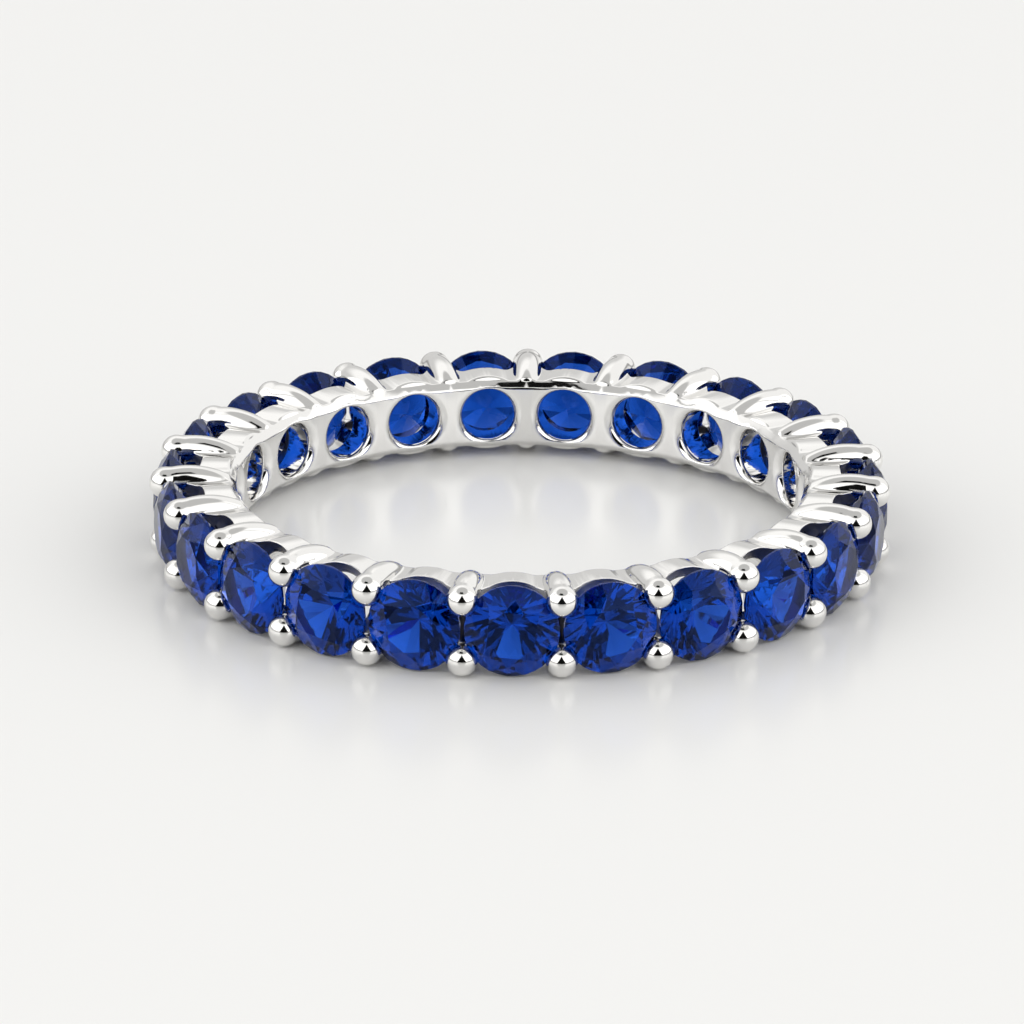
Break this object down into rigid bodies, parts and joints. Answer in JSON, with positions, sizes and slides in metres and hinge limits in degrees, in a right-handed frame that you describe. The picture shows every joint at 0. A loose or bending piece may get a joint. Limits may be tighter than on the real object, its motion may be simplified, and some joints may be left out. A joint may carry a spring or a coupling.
{
  "type": "eternity ring",
  "caption": "Full eternity ring: round brilliant-cut blue sapphires held by shared beads all the way round a white metal band, lying on its side.",
  "frame": {"origin": "centre of the ring's footprint on the surface that it lies on: the ring's axis at z = 0, under its lowest ribs", "axes": "+Z along the ring's axis, up from the surface; -Y towards the first stone"},
  "size_m": [0.0222, 0.0221, 0.0029],
  "materials": {
    "white_gold": "polished",
    "sapphire": "polished"
  },
  "bodies": {
    "root": {"band": "white_gold", "sapphire_01": "sapphire", "sapphire_02": "sapphire", "sapphire_03": "sapphire", "sapphire_04": "sapphire", "sapphire_05": "sapphire", "sapphire_06": "sapphire", "sapphire_07": "sapphire", "sapphire_08": "sapphire", "sapphire_09": "sapphire", "sapphire_10": "sapphire", "sapphire_11": "sapphire", "sapphire_12": "sapphire", "sapphire_13": "sapphire", "sapphire_14": "sapphire", "sapphire_15": "sapphire", "sapphire_16": "sapphire", "sapphire_17": "sapphire", "sapphire_18": "sapphire", "sapphire_19": "sapphire", "sapphire_20": "sapphire", "sapphire_21": "sapphire", "sapphire_22": "sapphire", "sapphire_23": "sapphire"}
  },
  "joints": []
}
